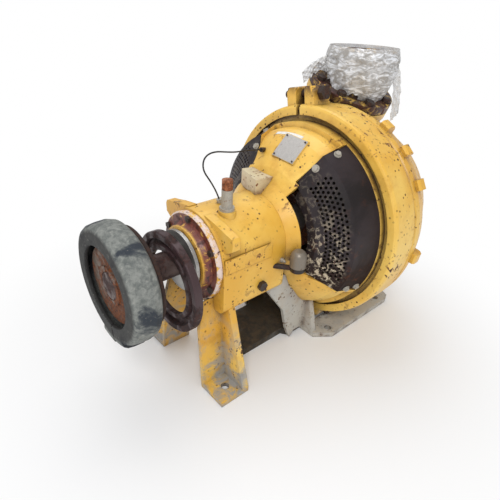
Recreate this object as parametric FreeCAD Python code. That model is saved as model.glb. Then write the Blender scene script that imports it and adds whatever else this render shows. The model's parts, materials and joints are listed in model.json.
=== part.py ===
"""Slurry pump with its bearing frame, clamped wet end and tyre coupling half.

Row frame: +Z up, X along the shaft from the coupling to the suction, near side at -Y.
The origin is on the floor, midway between the two drive-end foot bolts.
Every helper works about the shaft line (z = 0 there); emit() lifts the result to the shaft height.
"""
import FreeCAD, Part
import math
import os

V = FreeCAD.Vector
os.makedirs("parts", exist_ok=True)

# ---- driving dimensions, mm and degrees -------------------------------------------------------
SHAFT_HEIGHT = 440.0
FLOOR = -SHAFT_HEIGHT
SEAT_GAP = 0.3
RUNNING = 0.05

SHAFT_R = 42.0
HOUSING_X0 = 10.0
HOUSING_X1 = 265.0
HOUSING_R = 150.0
HOUSING_CORNER = 25.0
BELL_OUTER = [(HOUSING_X1, HOUSING_R), (300, 184), (323, 221), (352, 250), (377, 280),
              (406, 309), (445, 327), (474, 330)]
BELL_INNER = [(474, 302), (440, 300), (404, 282), (370, 250), (343, 220), (314, 190), (290, 150),
              (HOUSING_X1, 128)]
NECK = [(HOUSING_X1, HOUSING_R), (300, 184), (305, 172), (290, 150), (HOUSING_X1, 128)]
BRIDGE_EDGE = 59.0
BASE_BRIDGE_EDGE = 26.0
RIM_R = 347.0
RIM_X0 = 474.0
BELL_BORE_R = 302.0
ADAPTER_X0 = 523.0
JOINT_X = 557.0
CASING_FLANGE_X1 = 603.0
FLANGE_R = 388.0

CLAMP_X0 = 505.0
CLAMP_X1 = 621.0
CLAMP_R = FLANGE_R + 12.0
CLAMP_FRONT_LIP_R = FLANGE_R - 22.0
CLAMP_REAR_LIP_R = FLANGE_R - 16.0
CLAMP_SPLIT = 78.5
CLAMP_GAP = 2.4
TOP_LUG_R = CLAMP_R + 57.0
TOP_BOLT_R = CLAMP_R + 33.0
LOW_LUG_R = CLAMP_R + 31.0
LOW_BOLT_R = CLAMP_R + 14.0
LUG_X0 = 520.0
LUG_X1 = 604.0
LUG_NEAR = 20.0
LUG_FAR = 62.0
TOP_BOLT = dict(r=13.0, flats=44.0, head=20.0)
LOW_BOLT = dict(r=10.0, flats=30.0, head=13.0)

GUARD_T = 3.0
GUARD_LIP_R = 180.0
GUARD_NOSE = (335.0, 213.0)
GUARD_CREASE = (400.0, 322.0)
GUARD_REAR = (500.0, 344.0)
GUARD_TOP = 116.5
GUARD_LOW = 208.0
GUARD_CORNER = 26.0
GUARD_SCREWS = ((378.0, 119.0), (445.0, 119.5), (430.0, 205.5), (475.0, 205.5))
PERFORATION_R = 4.8
PERFORATION_PITCH = 16.0
PERFORATION_ROWS = 6

DE_BEARING = dict(x0=16.0, width=64.0, bore=45.0, outer=95.0)
PE_BEARING = dict(x0=178.0, width=80.0, bore=55.0, outer=120.0)
HOUSING_BORE_R = 78.0
COVER_R = 144.0
COVER_T = 15.0
COVER_BORE_R = 50.0
SLEEVE_R = 62.0
PACKING_T = 18.0
GLAND_STUD_R = 8.0
GLAND_STUD_Z = 122.0

LEG_X0 = -53.0
LEG_X1 = 59.0
LEG_WALL = 14.0
FOOT_T = 18.0
FOOT_Y0 = HOUSING_R - 30.0
FOOT_Y1 = 232.0
FRONT_HOLE_Y = 180.0
FOOT_HOLE_R = 14.0
RAIL_X0 = 433.0
RAIL_X1 = 908.0
RAIL_Y0 = 134.0
RAIL_Y1 = 240.0
RAIL_T = 20.0
REAR_HOLE_Y = 206.0
REAR_HOLES_X = (506.0, 835.0)

VOLUTE_X = 785.0
VOLUTE_WALL = 18.0
CASING_BOSSES = (118.0, 133.0, 150.0, 187.0, 29.0, 331.0)
DISCHARGE_TILT = 21.0
DISCHARGE_OFFSET = 218.0
DISCHARGE_H = 360.0
PIPE_R = 100.0
DISCHARGE_FLANGE_R = 162.0
DISCHARGE_FLANGE_T = 28.0
DISCHARGE_PCD = 280.0
DISCHARGE_BOLT_R = 10.0
TAPPED_SPOTS = (4, 5)
GASKET_T = 3.0
BEND_STRAIGHT = 60.0
BEND_R = 195.0
BEND_TOP = 20.0
BEND_WALL = 12.0
SUCTION_FLANGE_R = 170.0
SUCTION_PCD = 295.0
SUCTION_HOLE_R = 11.0
SUCTION_X0 = 905.0
SUCTION_X1 = 965.0

RING_X0 = -98.0
RING_T = 24.0
RING_R = 163.0
RING_HOLE_R = 104.0

CABLE_R = 2.4
PLATE_L = 87.0
PLATE_W = 94.0
PLATE_X = 379.0
PLATE_ANGLE = 93.9
PLATE_SEAT_R = 283.5

TYRE_X0 = -286.0
TYRE_X1 = -195.0
TYRE_LIP_R = 121.0
HUB_FLANGE_R = 150.0
TYRE_SPLIT = -95.0
TYRE_GAP = 2.4
TYRE_END = 20.0
TYRE_SAG = 16.0


# ---- shape helpers ----------------------------------------------------------------------------
def polar(r, angle, x=0.0):
    """Point at radius r and angle (degrees from +Y towards +Z) about the shaft."""
    return V(x, r * math.cos(math.radians(angle)), r * math.sin(math.radians(angle)))


def revolved(points, start=0.0, sweep=360.0):
    """Turn a closed (x, r) outline about the shaft line."""
    wire = Part.makePolygon([V(x, r, 0) for x, r in points] + [V(points[0][0], points[0][1], 0)])
    solid = Part.Face(wire).revolve(V(0, 0, 0), V(1, 0, 0), sweep)
    solid.rotate(V(0, 0, 0), V(1, 0, 0), start)
    return solid


def ring(x0, x1, outer, inner=0.0):
    """Washer or disc about the shaft line from x0 to x1."""
    solid = Part.makeCylinder(outer, x1 - x0, V(x0, 0, 0), V(1, 0, 0))
    if inner > 0:
        solid = solid.cut(Part.makeCylinder(inner, x1 - x0 + 2, V(x0 - 1, 0, 0), V(1, 0, 0)))
    return solid


def box(x0, x1, y0, y1, z0, z1):
    return Part.makeBox(x1 - x0, y1 - y0, z1 - z0, V(x0, y0, z0))


def slab(points, depth, plane="XZ", at=0.0):
    """Extrude a closed outline: XZ outlines go along +Y, YZ outlines along +X, XY ones along +Z."""
    spread = {"XZ": lambda a, b: V(a, at, b), "YZ": lambda a, b: V(at, a, b), "XY": lambda a, b: V(a, b, at)}
    corners = [spread[plane](a, b) for a, b in points]
    along = {"XZ": V(0, depth, 0), "YZ": V(depth, 0, 0), "XY": V(0, 0, depth)}[plane]
    return Part.Face(Part.makePolygon(corners + [corners[0]])).extrude(along)


def aimed(solid, direction, position):
    """Turn a solid built along +Z to a direction and move it to a position."""
    moved = solid.copy()
    moved.Placement = FreeCAD.Placement(position, FreeCAD.Rotation(V(0, 0, 1), direction))
    return moved


def rod(start, direction, length, radius):
    return Part.makeCylinder(radius, length, start, direction)


def hexagon(position, direction, across_flats, height, hole=0.0):
    """Hexagon head or nut standing on a position."""
    reach = across_flats / math.sqrt(3)
    corners = [V(reach * math.cos(math.radians(60 * i)), reach * math.sin(math.radians(60 * i)), 0)
               for i in range(6)]
    solid = Part.Face(Part.makePolygon(corners + [corners[0]])).extrude(V(0, 0, height))
    if hole > 0:
        solid = solid.cut(Part.makeCylinder(hole, height + 2, V(0, 0, -1)))
    return aimed(solid, direction, position)


def mirrored(solid):
    return solid.mirror(V(0, 0, 0), V(0, 1, 0))


def largest(shape):
    return max(shape.Solids, key=lambda solid: solid.Volume)


def both_sides(solid):
    return [solid, mirrored(solid)]


def fused(solids):
    return solids[0].multiFuse(solids[1:]).removeSplitter()


def circle_of(count, first, make):
    return [make(first + 360.0 * i / count) for i in range(count)]


def emit(name, shape):
    """Lift to the shaft height and write one node."""
    solids = shape if isinstance(shape, list) else [shape]
    made = Part.makeCompound(solids) if len(solids) > 1 else solids[0]
    made.translate(V(0, 0, SHAFT_HEIGHT))
    made.exportStep("parts/%s.step" % name)
    print(name, len(made.Solids), round(made.Volume / 1000.0), "cm3", "valid" if made.isValid() else "INVALID")


# ---- bearing frame ----------------------------------------------------------------------------
def guard_surface(x):
    """Radius of the guard sheet's outer face at a station behind its nose."""
    front, rear = (GUARD_NOSE, GUARD_CREASE) if x < GUARD_CREASE[0] else (GUARD_CREASE, GUARD_REAR)
    return front[1] + (x - front[0]) * (rear[1] - front[1]) / (rear[0] - front[0])


def guard_normal(x, angle):
    """Outward direction of the guard sheet at a station and an angle."""
    front, rear = (GUARD_NOSE, GUARD_CREASE) if x < GUARD_CREASE[0] else (GUARD_CREASE, GUARD_REAR)
    slope = math.atan2(rear[1] - front[1], rear[0] - front[0])
    return V(-math.sin(slope), 0, 0) + polar(1, angle) * math.cos(slope)


def guard_room():
    """Everything outside the underside of one guard, less a seat gap."""
    drop = 3 * GUARD_T
    lead = 4.0
    outline = [(GUARD_NOSE[0] - lead, guard_surface(GUARD_NOSE[0] - lead) - drop),
               (GUARD_CREASE[0], GUARD_CREASE[1] - drop),
               (GUARD_REAR[0], GUARD_REAR[1] - GUARD_T - SEAT_GAP), (GUARD_REAR[0], 420),
               (GUARD_NOSE[0] - lead, 420)]
    return revolved(outline, GUARD_TOP - 0.2, GUARD_LOW - GUARD_TOP + 0.4)


def housing():
    side = HOUSING_R
    low = -HOUSING_R + HOUSING_CORNER
    bend = HOUSING_CORNER * math.sqrt(0.5)
    arc = lambda a, b, c: Part.Arc(V(HOUSING_X0, *a), V(HOUSING_X0, *b), V(HOUSING_X0, *c)).toShape()
    line = lambda a, b: Part.makeLine(V(HOUSING_X0, *a), V(HOUSING_X0, *b))
    flat = side - HOUSING_CORNER
    wire = Part.Wire([
        arc((side, 0), (0, side), (-side, 0)),
        line((-side, 0), (-side, low)),
        arc((-side, low), (-flat - bend, low - bend), (-flat, -side)),
        line((-flat, -side), (flat, -side)),
        arc((flat, -side), (flat + bend, low - bend), (side, low)),
        line((side, low), (side, 0))])
    return Part.Face(wire).extrude(V(HOUSING_X1 - HOUSING_X0, 0, 0))


def front_leg():
    """Near-side angle-section leg with its foot pad."""
    face = slab([(LEG_X0, FLOOR), (LEG_X1, FLOOR), (LEG_X1, -60), (20, -60), (-30, -112), (LEG_X0 + 3, -205)],
                LEG_WALL, at=-FOOT_Y0 - LEG_WALL)
    face.rotate(V(0, -FOOT_Y0, FLOOR), V(1, 0, 0), -6.2)
    web = slab([(-FOOT_Y0, FLOOR), (-FOOT_Y1, FLOOR), (-FOOT_Y1, FLOOR + FOOT_T), (-150, -150), (-115, -60),
                (-90, -60), (-84, -110)], 25.0, plane="YZ", at=LEG_X1 - 25.0)
    pad = box(LEG_X0, LEG_X1, -FOOT_Y1, -FOOT_Y0, FLOOR, FLOOR + FOOT_T)
    below = box(LEG_X0 - 50, LEG_X1 + 50, -400, 0, FLOOR - 100, FLOOR)
    hole = Part.makeCylinder(FOOT_HOLE_R, FOOT_T + 2, V(0, -FRONT_HOLE_Y, FLOOR - 1))
    return fused([face, web, pad]).cut(below).cut(hole)


def rear_base():
    """Near-side gusset, end flange and long foot rail under the wet end."""
    y0 = -RAIL_Y0
    plate = FOOT_Y0 - RAIL_Y0
    gusset = slab([(201, -140), (305, -283), (334, -385), (359, FLOOR), (379, FLOOR + 25), (419, FLOOR + 25),
                   (RAIL_X0, FLOOR), (455, FLOOR), (455, -285), (380, -240), (300, -120), (240, -100)],
                  -plate, at=y0)
    end_plate = slab([(-FOOT_Y0, FLOOR), (-192, FLOOR), (-150, -290), (-150, -240), (-FOOT_Y0, -240)], 22.0,
                     plane="YZ", at=RAIL_X0)
    rail = slab([(RAIL_X0, -FOOT_Y0), (RAIL_X0, -192), (497, -RAIL_Y1), (RAIL_X1 - 40, -RAIL_Y1),
                 (RAIL_X1 - 12, -RAIL_Y1 + 12), (RAIL_X1, -RAIL_Y1 + 40), (RAIL_X1, -RAIL_Y0 - 25),
                 (RAIL_X1 - 25, -RAIL_Y0), (500, -RAIL_Y0), (486, -FOOT_Y0)],
                RAIL_T, plane="XY", at=FLOOR)
    base = fused([gusset, end_plate, rail])
    for x in REAR_HOLES_X:
        base = base.cut(Part.makeCylinder(FOOT_HOLE_R, RAIL_T + 2, V(x, -REAR_HOLE_Y, FLOOR - 1)))
    return base


def window_cheeks():
    """Raised ribs beside each side window that carry the guard edges."""
    rib = [(372, 262), (GUARD_CREASE[0], GUARD_CREASE[1] - 2), (RIM_X0 + 1, RIM_R), (RIM_X0 + 1, BELL_BORE_R),
           (440, 300), (404, 282), (376, 254)]
    return [revolved(rib, GUARD_TOP - 0.5, 5.0), revolved(rib, BASE_BRIDGE_EDGE + 180 - 1, 5.0)]


def ears():
    """Drive-end wing that flares from the top of the housing out to its tip."""
    outline = [(40, HOUSING_R - 2), (100, HOUSING_R - 12), (HOUSING_R - 10, 128), (HOUSING_R + 16, 123),
               (HOUSING_R + 22, 112), (HOUSING_R + 20, 84), (HOUSING_R, 70), (HOUSING_R - 30, 60), (40, 100)]
    return slab(outline, 30.0, plane="YZ", at=20.0)


def bearing_bores(frame):
    """Clear the cover spigot, the bearing seats and the shaft space."""
    frame = frame.cut(ring(LEG_X0, HOUSING_X0, COVER_R + 1)).cut(ring(0, 300, HOUSING_BORE_R))
    frame = frame.cut(ring(0, DE_BEARING["x0"] + DE_BEARING["width"], DE_BEARING["outer"]))
    return frame.cut(ring(PE_BEARING["x0"], 300, PE_BEARING["outer"]))


def bearing_housing():
    pieces = [housing(), box(13, 199, -HOUSING_R - 3, -HOUSING_R + 2, -1, 47),
              Part.makeCylinder(28, 30, V(95, -50, HOUSING_R - 30)),
              Part.makeCylinder(12, 30, V(106, 3, HOUSING_R - 29))] + both_sides(ears())
    return bearing_bores(fused(pieces))


def bell():
    """Flared front of the frame: neck, top and base bridges, rim and clamp flange."""
    profile = BELL_OUTER + BELL_INNER
    rim = [(RIM_X0, BELL_BORE_R), (RIM_X0, RIM_R), (ADAPTER_X0, RIM_R), (ADAPTER_X0, FLANGE_R),
           (JOINT_X, FLANGE_R), (JOINT_X, BELL_BORE_R)]
    seat = Part.makeBox(PLATE_L + 4, PLATE_W + 4, 16, V(-PLATE_L / 2 - 2, -PLATE_W / 2 - 2, -16))
    pieces = [revolved(NECK), revolved(profile, BRIDGE_EDGE, 180 - 2 * BRIDGE_EDGE),
              revolved(profile, 180 + BASE_BRIDGE_EDGE, 180 - 2 * BASE_BRIDGE_EDGE), revolved(rim), placed(seat)]
    for cheek in window_cheeks():
        pieces += both_sides(cheek)
    inside = revolved(BELL_INNER[::-1] + [(JOINT_X + 1, BELL_BORE_R), (JOINT_X + 1, 0), (HOUSING_X1, 0)])
    solid = fused(pieces).cut(inside)
    for room in both_sides(guard_room()):
        solid = solid.cut(room)
    return solid


def base_tie_plate():
    half = FOOT_Y0
    return slab([(120, -97), (345, -97), (362, -half), (480, -half), (480, half), (362, half), (345, 97),
                 (120, 97)], 27.0, plane="XY", at=FLOOR)


# ---- bearings and covers ----------------------------------------------------------------------
def bearing(b, name):
    x0 = b["x0"]
    x1 = x0 + b["width"]
    race_t = 0.24 * (b["outer"] - b["bore"])
    emit(name + "_outer_race", ring(x0, x1, b["outer"], b["outer"] - race_t))
    emit(name + "_inner_race", ring(x0, x1, b["bore"] + race_t, b["bore"]))
    roll_r = 0.5 * (b["outer"] - b["bore"]) - race_t - RUNNING
    pitch = 0.5 * (b["outer"] + b["bore"])
    make = lambda a: rod(polar(pitch, a, x0 + 8), V(1, 0, 0), b["width"] - 16, roll_r)
    emit(name + "_rollers", circle_of(12, 15, make))


def drive_end_cover():
    profile = [(-38, COVER_BORE_R), (-38, 88), (-32, 104), (-14, 112), (-8, 118), (-8, 139), (-3, COVER_R),
               (HOUSING_X0, COVER_R), (HOUSING_X0, DE_BEARING["outer"] - 0.1), (DE_BEARING["x0"], DE_BEARING["outer"] - 0.1),
               (DE_BEARING["x0"], 80), (0, 76), (0, COVER_BORE_R)]
    return revolved(profile)


def pump_end_cover():
    x1 = HOUSING_X1
    seat = PE_BEARING["x0"] + PE_BEARING["width"]
    return revolved([(seat, PE_BEARING["outer"] - 0.1), (x1, PE_BEARING["outer"] - 0.1), (x1, 127.5), (x1 + 12, 127.5),
                     (x1 + 22, 100), (x1 + 30, 96), (x1 + 30, 66), (x1 + 4, 66), (x1 + 4, 100), (seat, 100)])


def cover_bolts():
    def one(angle):
        spot = polar(129, angle, -8.0)
        return hexagon(spot, V(-1, 0, 0), 19, 8)
    return circle_of(6, 30, one)


# ---- rotor ------------------------------------------------------------------------------------
def shaft():
    turned = revolved([(-272, 0), (-272, SHAFT_R - 3), (-269, SHAFT_R), (8, SHAFT_R), (8, 45), (82, 45), (82, 54),
                       (176, 54), (176, 55), (260, 55), (260, 50), (690, 50), (690, 38), (800, 38), (800, 0)])
    return turned.cut(shaft_key())


def impeller():
    back = revolved([(697, 38), (697, 245), (704, 252), (718, 252), (726, 90), (806, 48), (818, 0), (801, 0),
                     (801, 38)])
    front = revolved([(846, 112), (858, 112), (864, 150), (864, 252), (852, 252), (840, 150), (838, 112)])
    vane_out = 245.0
    vane_in = 95.0
    start = polar(vane_in, 0)
    end = polar(vane_out, 62)
    mid = polar(0.5 * (vane_in + vane_out) - 4, 22)
    start_b = polar(vane_in, 11)
    end_b = polar(vane_out, 67)
    mid_b = polar(0.5 * (vane_in + vane_out) + 4, 31)
    face = Part.Face(Part.Wire([Part.Arc(start, mid, end).toShape(), Part.makeLine(end, end_b),
                                Part.Arc(end_b, mid_b, start_b).toShape(), Part.makeLine(start_b, start)]))
    vane = face.extrude(V(135, 0, 0))
    vane.translate(V(712, 0, 0))
    vanes = []
    for i in range(5):
        turned = vane.copy()
        turned.rotate(V(0, 0, 0), V(1, 0, 0), 72 * i)
        vanes.append(turned)
    return fused([back, front] + vanes)


def coupling_hub():
    hub = revolved([(-272, SHAFT_R), (-272, 58), (-267, 60), (-267, 112), (-262, 117), (-252, 117), (-248, 112),
                    (-246, 66), (-198, 66), (-195, 70), (TYRE_X1, HUB_FLANGE_R - 3), (TYRE_X1 + 3, HUB_FLANGE_R),
                    (TYRE_X1 + 12, HUB_FLANGE_R), (TYRE_X1 + 12, 72), (-178, 66), (-172, 62), (-172, SHAFT_R)])
    return hub.cut(box(-280, -160, -11, 11, SHAFT_R - 5, SHAFT_R + 6))


def shaft_key():
    return box(-268, -176, -11, 11, SHAFT_R - 5, SHAFT_R + 5.5)


def tyre():
    """Rubber half tyre, split underneath, with its two ends hanging lower than the rest."""
    def section(sag):
        return [(TYRE_X0, TYRE_LIP_R), (TYRE_X0, 160 + sag), (-283, 168 + sag), (-274, 174 + sag),
                (-255, 177 + sag), (-228, 178 + sag), (-208, 172 + sag), (-198, 158), (TYRE_X1, 146),
                (TYRE_X1, TYRE_LIP_R), (-205, TYRE_LIP_R), (-205, 148), (-214, 160), (-232, 166), (-256, 165),
                (-270, 160), (-276, 150), (-276, TYRE_LIP_R)]
    ends = [revolved(section(TYRE_SAG), TYRE_SPLIT, TYRE_END),
            revolved(section(0.6 * TYRE_SAG), TYRE_SPLIT + 360 - TYRE_GAP - TYRE_END, TYRE_END)]
    return fused([revolved(section(0.0), TYRE_SPLIT, 360 - TYRE_GAP)] + ends)


def hanging_ring():
    drop = -(RING_HOLE_R - SHAFT_R - RUNNING)
    x0 = RING_X0
    body = revolved([(x0, RING_R - 3), (x0 + 3, RING_R), (x0 + RING_T, RING_R), (x0 + RING_T, RING_HOLE_R + 3),
                     (x0 + RING_T - 3, RING_HOLE_R), (x0 + 5, RING_HOLE_R), (x0 + 5, RING_HOLE_R + 16),
                     (x0 + 16, RING_HOLE_R + 20), (x0 + 16, RING_HOLE_R + 34), (x0 + 1, RING_HOLE_R + 38),
                     (x0, RING_HOLE_R + 40)])
    body.translate(V(0, 0, drop))
    return body


# ---- guards and clamp -------------------------------------------------------------------------
def perforations():
    """Round holes in staggered rows across the guard's sloping front."""
    run = math.hypot(GUARD_CREASE[0] - GUARD_NOSE[0], GUARD_CREASE[1] - GUARD_NOSE[1])
    holes = []
    for row in range(PERFORATION_ROWS):
        share = 0.55 + (row - 0.5 * (PERFORATION_ROWS - 1)) * 0.87 * PERFORATION_PITCH / run
        x = GUARD_NOSE[0] + share * (GUARD_CREASE[0] - GUARD_NOSE[0])
        step = math.degrees(PERFORATION_PITCH / guard_surface(0.5 * (GUARD_NOSE[0] + GUARD_CREASE[0])))
        first = GUARD_TOP + 11.5 + (0.5 * step if row % 2 else 0)
        for i in range(int((GUARD_LOW - 9 - first) / step) + 1):
            angle = first + i * step
            normal = guard_normal(x, angle)
            holes.append(rod(polar(guard_surface(x), angle, x) - normal * 9, normal, 18, PERFORATION_R))
    return holes


def guard():
    """Bent sheet over one side window: inward lip, perforated slope and rim band."""
    t = GUARD_T
    sheet = [(GUARD_NOSE[0] + t, GUARD_LIP_R), (GUARD_NOSE[0], GUARD_LIP_R), GUARD_NOSE, GUARD_CREASE, GUARD_REAR,
             (GUARD_REAR[0], GUARD_REAR[1] - t), (GUARD_CREASE[0] + 0.6 * t, GUARD_CREASE[1] - 1.15 * t),
             (GUARD_NOSE[0] + t, GUARD_NOSE[1] - 0.9 * t)]
    full = revolved(sheet, GUARD_TOP, GUARD_LOW - GUARD_TOP)
    return full.cut(Part.makeCompound([guard_corner()] + perforations()))


def guard_corner():
    """Waste outside the rounded upper front corner of the guard."""
    x = GUARD_NOSE[0]
    origin = polar(GUARD_NOSE[1], GUARD_TOP, x)
    normal = guard_normal(x, GUARD_TOP)
    along = polar(1, GUARD_TOP + 90)
    across = along.cross(normal) if along.cross(normal).x > 0 else normal.cross(along)
    r = GUARD_CORNER
    corners = [origin + across * a + along * b - normal * r for a, b in ((-r, -r), (r, -r), (r, r), (-r, r))]
    waste = Part.Face(Part.makePolygon(corners + [corners[0]])).extrude(normal * (2 * r))
    return waste.cut(rod(origin + (across + along) * r - normal * (r + 5), normal, 3 * r, r))


def guard_screws():
    screws = []
    for x, angle in GUARD_SCREWS:
        direction = guard_normal(x, angle)
        seat = polar(guard_surface(x), angle, x)
        washer = rod(seat + direction * 0.3, direction, 2.5, 12.5)
        screws.append(washer.fuse(hexagon(seat + direction * 2.8, direction, 17, 7)).removeSplitter())
    return screws


def clamp_half(first_angle):
    """Half of the two-piece clamp from first_angle over 180 degrees, with its lugs."""
    profile = [(CLAMP_X0, CLAMP_FRONT_LIP_R), (CLAMP_X0, CLAMP_R - 10), (CLAMP_X0 + 3, CLAMP_R - 3),
               (CLAMP_X0 + 12, CLAMP_R), (CLAMP_X1 - 12, CLAMP_R), (CLAMP_X1 - 3, CLAMP_R - 3), (CLAMP_X1, CLAMP_R - 10), (CLAMP_X1, CLAMP_REAR_LIP_R), (CASING_FLANGE_X1 + SEAT_GAP, CLAMP_REAR_LIP_R),
               (CASING_FLANGE_X1 + SEAT_GAP, FLANGE_R + SEAT_GAP), (ADAPTER_X0 - SEAT_GAP, FLANGE_R + SEAT_GAP),
               (ADAPTER_X0 - SEAT_GAP, CLAMP_FRONT_LIP_R)]
    start = first_angle + CLAMP_GAP / 2
    sweep = 180 - CLAMP_GAP
    half = revolved(profile, start, sweep)
    for joint_angle, side in ((first_angle, 1), (first_angle + 180, -1)):
        half = half.fuse(clamp_lug(joint_angle, side))
    clear_stack = ring(ADAPTER_X0 - SEAT_GAP, CASING_FLANGE_X1 + SEAT_GAP, FLANGE_R + SEAT_GAP)
    half = half.cut(clear_stack)
    for joint_angle in (first_angle, first_angle + 180):
        centre, along = clamp_bolt_line(joint_angle)
        half = half.cut(rod(centre - along * 160, along, 320, clamp_bolt(joint_angle)["r"] + 1))
    return half.removeSplitter()


def is_top(joint_angle):
    return math.sin(math.radians(joint_angle)) > 0


def clamp_bolt(joint_angle):
    return TOP_BOLT if is_top(joint_angle) else LOW_BOLT


def clamp_lug(joint_angle, side):
    """Cast lug beside a joint, with a flat seat square to the bolt."""
    outer = TOP_LUG_R if is_top(joint_angle) else LOW_LUG_R
    outline = [(LUG_NEAR, FLANGE_R - 3), (LUG_NEAR, outer - 4), (LUG_NEAR + 8, outer), (LUG_FAR - 14, outer),
               (LUG_FAR, outer - 16), (LUG_FAR, FLANGE_R - 10)]
    lug = slab([(-y * side, z) for y, z in outline], LUG_X1 - LUG_X0, plane="YZ", at=LUG_X0)
    lug.rotate(V(0, 0, 0), V(1, 0, 0), joint_angle - 90)
    return lug


def clamp_bolt_line(joint_angle):
    radius = TOP_BOLT_R if is_top(joint_angle) else LOW_BOLT_R
    return polar(radius, joint_angle, 0.5 * (LUG_X0 + LUG_X1)), polar(1, joint_angle + 90)


def clamp_fasteners():
    bolts = []
    nuts = []
    for joint_angle, side in ((CLAMP_SPLIT, 1), (CLAMP_SPLIT + 180, -1)):
        centre, along = clamp_bolt_line(joint_angle)
        along = along * side
        size = clamp_bolt(joint_angle)
        tail = LUG_FAR + size["head"] + 16
        shank = rod(centre - along * tail, along, LUG_FAR + tail, size["r"])
        bolts.append(fused([shank, hexagon(centre + along * LUG_FAR, along, size["flats"], size["head"])]))
        nuts.append(hexagon(centre - along * (LUG_FAR + size["head"]), along, size["flats"], size["head"], size["r"]))
    return bolts, nuts


# ---- wet end ----------------------------------------------------------------------------------
def tilt(y, z):
    """Shaft-plane point from discharge coordinates: y across the branch, z along it."""
    a = math.radians(DISCHARGE_TILT)
    return V(VOLUTE_X, y * math.cos(a) - z * math.sin(a), y * math.sin(a) + z * math.cos(a))


UP = tilt(0, 1) - tilt(0, 0)
CASING_FACE = DISCHARGE_H


def casing():
    outer = [(JOINT_X, 330.3), (JOINT_X, FLANGE_R), (CASING_FLANGE_X1, FLANGE_R), (CASING_FLANGE_X1, CLAMP_REAR_LIP_R - 8),
             (622, CLAMP_REAR_LIP_R - 8), (623, CLAMP_R - 8), (628, CLAMP_R - 2), (650, CLAMP_R - 2),
             (657, CLAMP_R - 6), (705, 378), (755, 350), (805, 325), (860, 300), (900, 262),
             (905, 240), (905, 200.3), (880, 200.3), (880, 235), (870, 250), (800, 285), (780, 290), (690, 300), (597, 300),
             (597, 330.3)]
    body = revolved(outer)
    branch = rod(tilt(DISCHARGE_OFFSET, 40), UP, CASING_FACE - 40, PIPE_R + VOLUTE_WALL)
    branch = branch.fuse(rod(tilt(DISCHARGE_OFFSET, CASING_FACE - DISCHARGE_FLANGE_T), UP, DISCHARGE_FLANGE_T,
                             DISCHARGE_FLANGE_R))
    body = fused([body, branch])
    for angle in CASING_BOSSES:
        boss = slab([(640, 350), (640, 410), (648, 416), (672, 416), (684, 404), (690, 350)], 36, at=-18)
        boss.rotate(V(0, 0, 0), V(1, 0, 0), angle - 90)
        body = body.fuse(boss)
    hollow = revolved([(597, 0), (597, 300), (690, 300), (780, 290), (800, 285), (870, 250), (880, 235), (880, 200),
                       (906, 200), (906, 0)])
    body = body.cut(hollow)
    body = body.cut(rod(tilt(DISCHARGE_OFFSET, 60), UP, CASING_FACE, PIPE_R))
    body = body.cut(rod(tilt(DISCHARGE_OFFSET, CASING_FACE), UP, 80, DISCHARGE_FLANGE_R + 4))
    return flange_holes(body, CASING_FACE - DISCHARGE_FLANGE_T - 1, DISCHARGE_FLANGE_T + 2)


def discharge_spots(height):
    reach = DISCHARGE_PCD / 2
    spots = []
    for i in range(8):
        a = math.radians(22.5 + 45 * i)
        spots.append(tilt(DISCHARGE_OFFSET + reach * math.cos(a), height) + V(reach * math.sin(a), 0, 0))
    return spots


def flange_holes(body, height, depth):
    for spot in discharge_spots(height):
        body = body.cut(rod(spot, UP, depth, DISCHARGE_BOLT_R + 1))
    return body


def discharge_bend():
    base = CASING_FACE + GASKET_T
    start = tilt(DISCHARGE_OFFSET, base)
    outer = PIPE_R + BEND_WALL

    def tube(radius, extra):
        lower = rod(start - UP * extra, UP, BEND_STRAIGHT + extra, radius)
        knee = start + UP * BEND_STRAIGHT
        a = math.radians(DISCHARGE_TILT)
        pivot = knee + V(0, BEND_R * math.cos(a), BEND_R * math.sin(a))
        face = Part.Face(Part.Wire(Part.makeCircle(radius, knee, UP)))
        arc = face.revolve(pivot, V(-1, 0, 0), DISCHARGE_TILT)
        top = pivot + V(0, -BEND_R, 0)
        upper = rod(top, V(0, 0, 1), BEND_TOP + extra, radius)
        return fused([lower, arc, upper]), top

    body, top = tube(outer, 0)
    bore, _ = tube(PIPE_R, 5)
    flange = rod(start, UP, DISCHARGE_FLANGE_T, DISCHARGE_FLANGE_R)
    rim = Part.makeCylinder(outer + 5.5, 26, top + V(0, 0, BEND_TOP - 26))
    bend = fused([body, flange, rim]).cut(bore)
    return flange_holes(bend, base - 1, DISCHARGE_FLANGE_T + 2), top + V(0, 0, BEND_TOP)


def discharge_gasket():
    gasket = rod(tilt(DISCHARGE_OFFSET, CASING_FACE), UP, GASKET_T, DISCHARGE_PCD / 2 - DISCHARGE_BOLT_R - 3)
    return gasket.cut(rod(tilt(DISCHARGE_OFFSET, CASING_FACE - 1), UP, GASKET_T + 2, PIPE_R))


def discharge_fasteners():
    """Bolts for every hole; the two over the casing shoulder are screwed into the flange."""
    low = CASING_FACE - DISCHARGE_FLANGE_T
    grip = 2 * DISCHARGE_FLANGE_T + GASKET_T
    bolts = []
    nuts = []
    for i, spot in enumerate(discharge_spots(low)):
        head = hexagon(spot + UP * grip, UP, 30, 13)
        if i in TAPPED_SPOTS:
            bolts.append(fused([rod(spot + UP * 4, UP, grip - 4, DISCHARGE_BOLT_R), head]))
        else:
            bolts.append(fused([rod(spot - UP * 20, UP, grip + 20, DISCHARGE_BOLT_R), head]))
            nuts.append(hexagon(spot - UP * 16, UP, 30, 16, DISCHARGE_BOLT_R))
    return bolts, nuts


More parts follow.
